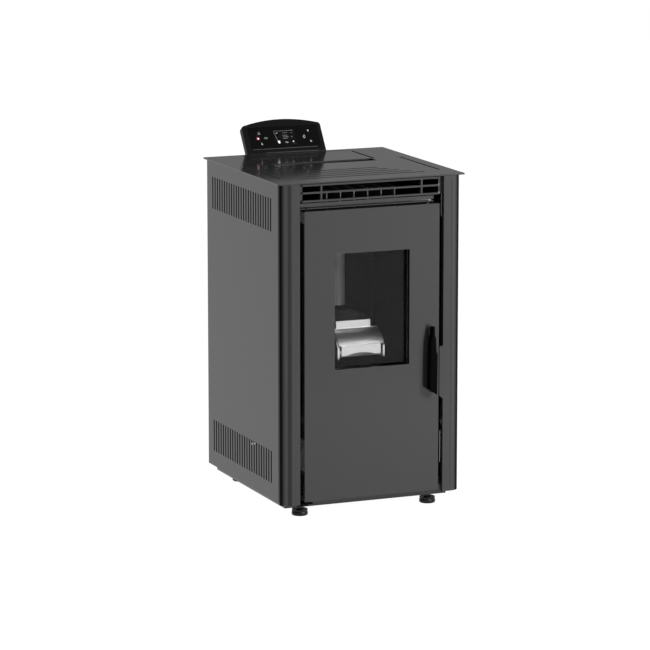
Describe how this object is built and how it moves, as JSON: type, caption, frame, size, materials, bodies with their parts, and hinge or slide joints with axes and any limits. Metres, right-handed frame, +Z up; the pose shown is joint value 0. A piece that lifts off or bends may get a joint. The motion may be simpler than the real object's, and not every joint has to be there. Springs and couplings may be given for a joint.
{
  "type": "pellet stove",
  "caption": "Free-standing pellet stove in dark grey sheet steel, with a windowed fire door, rear hopper lid, warm-air grille and tilted control panel.",
  "frame": {"origin": "centre of the footprint of the bounding box, on the floor", "axes": "+Z up, -Y towards the front with the fire door, +X to the right as seen from the front"},
  "size_m": [0.44, 0.526, 0.8117],
  "materials": {
    "paint": "semi-gloss dark grey stove enamel",
    "black_paint": "matte black heat-resistant paint",
    "firebox_paint": "matte black, slightly sooty",
    "stainless": "bright stainless sheet",
    "galvanised": "galvanised sheet",
    "black_plastic": "black moulded plastic",
    "rubber": "matte black rubber",
    "rope": "dark glass-fibre rope",
    "glass": "ceramic glass",
    "lens": "glossy display window",
    "board": "green circuit board",
    "ceramic": "pressed vermiculite board",
    "cast": "bare cast metal"
  },
  "bodies": {
    "cabinet": {"base_tray": "paint", "side_panel_left": "paint", "side_panel_right": "paint", "front_column_left": "paint", "front_column_right": "paint", "rear_panel": "paint", "top_plate": "paint", "top_rail": "paint", "air_grille": "paint", "hopper": "galvanised", "auger_tube": "galvanised", "firebox_stand": "galvanised", "latch_keeper": "galvanised", "flue_box": "galvanised", "air_intake": "galvanised", "room_fan_housing": "galvanised", "hopper_guard": "stainless", "pot_holder": "stainless", "igniter": "stainless", "auger_gearmotor": "cast", "exhaust_housing": "cast", "exhaust_motor": "cast", "room_fan_motor": "cast", "pellet_chute": "firebox_paint", "firebox_shell": "firebox_paint", "heat_exchanger": "firebox_paint", "baffle_plate": "ceramic", "lower_hinge_bracket": "black_paint", "control_housing": "black_plastic", "control_panel": "black_plastic", "pressure_switch": "black_plastic", "power_inlet": "black_plastic", "display": "lens", "control_board": "board"},
    "hopper_lid": {"hopper_lid": "paint"},
    "auger_screw": {"auger_screw": "cast"},
    "burn_pot": {"burn_pot": "stainless"},
    "ash_drawer": {"ash_drawer": "galvanised"},
    "door": {"door_panel": "paint", "door_frame": "black_paint", "glass_gasket": "rope", "door_glass": "glass", "glass_retainer": "galvanised", "door_rope": "rope"},
    "handle": {"door_handle": "black_plastic", "latch_shaft": "stainless"},
    "exhaust_impeller": {"exhaust_impeller": "stainless"},
    "room_fan_rotor": {"room_fan_rotor": "galvanised"},
    "rocker_switch": {"rocker_switch": "black_plastic"},
    "foot_front_left": {"foot_front_left": "rubber"},
    "foot_front_right": {"foot_front_right": "rubber"},
    "foot_rear_left": {"foot_rear_left": "rubber"},
    "foot_rear_right": {"foot_rear_right": "rubber"},
    "key_up": {"key_up": "black_plastic"},
    "key_power": {"key_power": "black_plastic"},
    "key_mode": {"key_mode": "black_plastic"},
    "key_down": {"key_down": "black_plastic"},
    "key_more": {"key_more": "black_plastic"},
    "key_set": {"key_set": "black_plastic"},
    "key_less": {"key_less": "black_plastic"}
  },
  "joints": [
    {"name": "door_hinge", "type": "hinge", "parent": "cabinet", "child": "door", "pos_m": [-0.152, -0.23, 0.357], "axis": [0, 0, -1], "range_deg": [0, 100]},
    {"name": "handle_turn", "type": "hinge", "parent": "door", "child": "handle", "pos_m": [0.14, -0.242, 0.3], "axis": [0, 1, 0], "range_deg": [0, 60]},
    {"name": "lid_hinge", "type": "hinge", "parent": "cabinet", "child": "hopper_lid", "pos_m": [0, 0.184, 0.73], "axis": [-1, 0, 0], "range_deg": [0, 75]},
    {"name": "pot_lift", "type": "slide", "parent": "cabinet", "child": "burn_pot", "axis": [0, 0, 1], "range_m": [0, 0.055]},
    {"name": "drawer_slide", "type": "slide", "parent": "cabinet", "child": "ash_drawer", "axis": [0, -1, 0], "range_m": [0, 0.06]},
    {"name": "auger_turn", "type": "hinge", "parent": "cabinet", "child": "auger_screw", "pos_m": [0, -0.028, 0.59], "axis": [0, 0.6157, -0.788], "continuous": true},
    {"name": "exhaust_turn", "type": "hinge", "parent": "cabinet", "child": "exhaust_impeller", "pos_m": [-0.078, 0.055, 0.312], "axis": [0, 1, 0], "continuous": true},
    {"name": "room_fan_turn", "type": "hinge", "parent": "cabinet", "child": "room_fan_rotor", "pos_m": [-0.017, 0.11, 0.096], "axis": [1, 0, 0], "continuous": true},
    {"name": "foot_front_left_screw", "type": "slide", "parent": "cabinet", "child": "foot_front_left", "axis": [0, 0, -1], "range_m": [0, 0.014]},
    {"name": "foot_front_right_screw", "type": "slide", "parent": "cabinet", "child": "foot_front_right", "axis": [0, 0, -1], "range_m": [0, 0.014]},
    {"name": "foot_rear_left_screw", "type": "slide", "parent": "cabinet", "child": "foot_rear_left", "axis": [0, 0, -1], "range_m": [0, 0.014]},
    {"name": "foot_rear_right_screw", "type": "slide", "parent": "cabinet", "child": "foot_rear_right", "axis": [0, 0, -1], "range_m": [0, 0.014]},
    {"name": "key_up_press", "type": "slide", "parent": "cabinet", "child": "key_up", "axis": [0, 0.829, -0.5592], "range_m": [0, 0.0008], "stiffness_N_per_m": 300},
    {"name": "key_power_press", "type": "slide", "parent": "cabinet", "child": "key_power", "axis": [0, 0.829, -0.5592], "range_m": [0, 0.0008], "stiffness_N_per_m": 300},
    {"name": "key_mode_press", "type": "slide", "parent": "cabinet", "child": "key_mode", "axis": [0, 0.829, -0.5592], "range_m": [0, 0.0008], "stiffness_N_per_m": 300},
    {"name": "key_down_press", "type": "slide", "parent": "cabinet", "child": "key_down", "axis": [0, 0.829, -0.5592], "range_m": [0, 0.0008], "stiffness_N_per_m": 300},
    {"name": "key_more_press", "type": "slide", "parent": "cabinet", "child": "key_more", "axis": [0, 0.829, -0.5592], "range_m": [0, 0.0008], "stiffness_N_per_m": 300},
    {"name": "key_set_press", "type": "slide", "parent": "cabinet", "child": "key_set", "axis": [0, 0.829, -0.5592], "range_m": [0, 0.0008], "stiffness_N_per_m": 300},
    {"name": "key_less_press", "type": "slide", "parent": "cabinet", "child": "key_less", "axis": [0, 0.829, -0.5592], "range_m": [0, 0.0008], "stiffness_N_per_m": 300},
    {"name": "rocker_tilt", "type": "hinge", "parent": "cabinet", "child": "rocker_switch", "pos_m": [0.15, 0.2013, 0.14], "axis": [1, 0, 0], "range_deg": [0, 14]}
  ]
}
